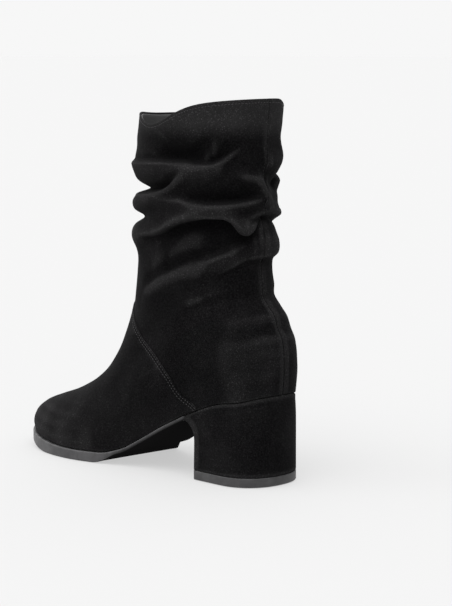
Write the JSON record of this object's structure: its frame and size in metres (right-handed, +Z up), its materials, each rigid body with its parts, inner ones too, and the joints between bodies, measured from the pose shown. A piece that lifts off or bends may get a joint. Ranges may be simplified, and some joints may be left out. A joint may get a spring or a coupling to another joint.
{
  "type": "slouch ankle boot",
  "caption": "Left slouch ankle boot: soft gathered shaft, lapped vamp, side zip, rounded block heel and thin sole with a flat tread.",
  "frame": {"origin": "on the floor, under the middle of the heel, on the underside of the top piece", "axes": "+X towards the toe, +Y towards the outer side of the foot, +Z up"},
  "size_m": [0.2397, 0.0885, 0.2535],
  "materials": {
    "suede": "napped, matte",
    "rubber": "satin",
    "insole_cover": "matte",
    "zip_tape": "woven",
    "zip_metal": "satin"
  },
  "bodies": {
    "boot": {"upper": "suede", "outsole": "rubber", "heel_block": "suede", "top_piece": "rubber", "insole": "insole_cover", "zip_tape": "zip_tape", "zip_slider": "zip_metal"},
    "pull": {"zip_pull": "zip_metal"}
  },
  "joints": [
    {"name": "pull_swing", "type": "hinge", "parent": "boot", "child": "pull", "pos_m": [0.02155, -0.04207, 0.2414], "axis": [-0.9466, 0.226, -0.2299], "range_deg": [0, 160]}
  ]
}
